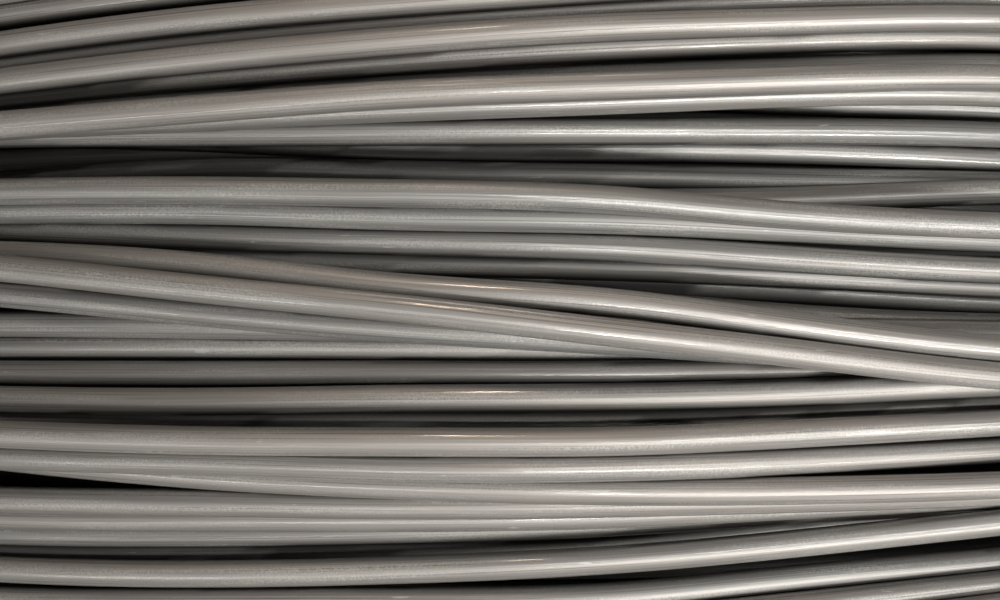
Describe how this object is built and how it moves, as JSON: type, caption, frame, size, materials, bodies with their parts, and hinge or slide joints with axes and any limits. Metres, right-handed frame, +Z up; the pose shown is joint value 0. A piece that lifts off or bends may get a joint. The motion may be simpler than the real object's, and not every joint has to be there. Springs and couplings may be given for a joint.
{
  "type": "coil of cold heading wire",
  "caption": "Strapped coil of drawn steel wire standing on its end, with an open bore for a mandrel or pay-off reel.",
  "frame": {"origin": "middle of the bore, on the floor that the coil stands on", "axes": "+Z up along the coil's axis; the straps lie at 45 degrees to +X and +Y"},
  "size_m": [1, 0.9998, 0.4326],
  "materials": {
    "drawn_wire": "satin drawn wire with a dull grey lubricant coat",
    "strap_steel": "dark blued steel strapping with a thin wax film",
    "seal_steel": "zinc-plated notched seal"
  },
  "bodies": {
    "root": {"wire_coil": "drawn_wire", "strap_1": "strap_steel", "strap_2": "strap_steel", "strap_3": "strap_steel", "strap_4": "strap_steel", "seal_1": "seal_steel", "seal_2": "seal_steel", "seal_3": "seal_steel", "seal_4": "seal_steel"}
  },
  "joints": []
}
